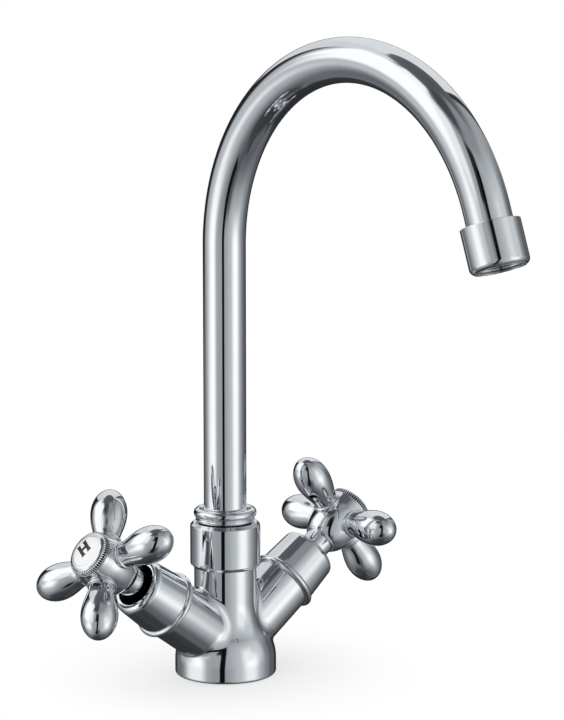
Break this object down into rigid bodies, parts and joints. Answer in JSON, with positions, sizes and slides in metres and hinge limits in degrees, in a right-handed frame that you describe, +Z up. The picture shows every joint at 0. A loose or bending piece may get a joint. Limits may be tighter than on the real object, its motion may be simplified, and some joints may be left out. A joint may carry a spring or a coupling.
{
  "type": "kitchen mixer tap",
  "caption": "Deck-mounted two-handle kitchen mixer with raised side valves, cross handles and a swivelling swan-neck spout.",
  "frame": {"origin": "centre of the foot's underside, on the deck", "axes": "+Z up, spout outlet towards -Y, hot valve on the -X side, cold valve on the +X side"},
  "size_m": [0.1907, 0.2312, 0.3018],
  "materials": {
    "polished_chrome": "bright chrome plate on polished brass",
    "aerator_chrome": "plain chrome plate, seen inside the outlet",
    "brass": "machined brass, unplated",
    "white_enamel": "glossy white enamel",
    "disc_ceramic": "lapped alumina ceramic",
    "rubber": "black nitrile rubber",
    "nylon": "natural acetal, low friction",
    "aerator_plastic": "moulded dark acetal",
    "stainless": "stainless steel"
  },
  "bodies": {
    "body": {"body_casting": "polished_chrome", "base_seal": "rubber", "spout_collar_nut": "polished_chrome", "spout_slip_ring": "nylon", "hot_bonnet": "polished_chrome", "hot_valve_housing": "brass", "hot_housing_oring": "rubber", "hot_seat_seal": "rubber", "hot_fixed_disc": "disc_ceramic", "cold_bonnet": "polished_chrome", "cold_valve_housing": "brass", "cold_housing_oring": "rubber", "cold_seat_seal": "rubber", "cold_fixed_disc": "disc_ceramic"},
    "spout": {"spout_spigot": "brass", "spout_orings": "rubber", "spout_bead_ring": "polished_chrome", "spout_tube": "polished_chrome", "outlet_cup": "polished_chrome", "aerator_washer": "rubber", "aerator_shell": "aerator_chrome", "aerator_insert": "aerator_plastic", "aerator_screen": "stainless"},
    "hot_handle": {"hot_moving_disc": "disc_ceramic", "hot_spindle": "brass", "hot_spindle_orings": "rubber", "hot_spindle_clip": "stainless", "hot_cross_handle": "polished_chrome", "hot_handle_screw": "stainless", "hot_index_ring": "polished_chrome", "hot_index_disc": "white_enamel"},
    "cold_handle": {"cold_moving_disc": "disc_ceramic", "cold_spindle": "brass", "cold_spindle_orings": "rubber", "cold_spindle_clip": "stainless", "cold_cross_handle": "polished_chrome", "cold_handle_screw": "stainless", "cold_index_ring": "polished_chrome", "cold_index_disc": "white_enamel"}
  },
  "joints": [
    {"name": "spout_swivel", "type": "hinge", "parent": "body", "child": "spout", "pos_m": [0, 0, 0.055], "axis": [0, 0, 1], "continuous": true},
    {"name": "hot_turn", "type": "hinge", "parent": "body", "child": "hot_handle", "pos_m": [-0.0709, 0, 0.06316], "axis": [-0.8131, 0, 0.5821], "range_deg": [0, 90]},
    {"name": "cold_turn", "type": "hinge", "parent": "body", "child": "cold_handle", "pos_m": [0.0709, 0, 0.06316], "axis": [0.8131, 0, 0.5821], "range_deg": [0, 90]}
  ]
}
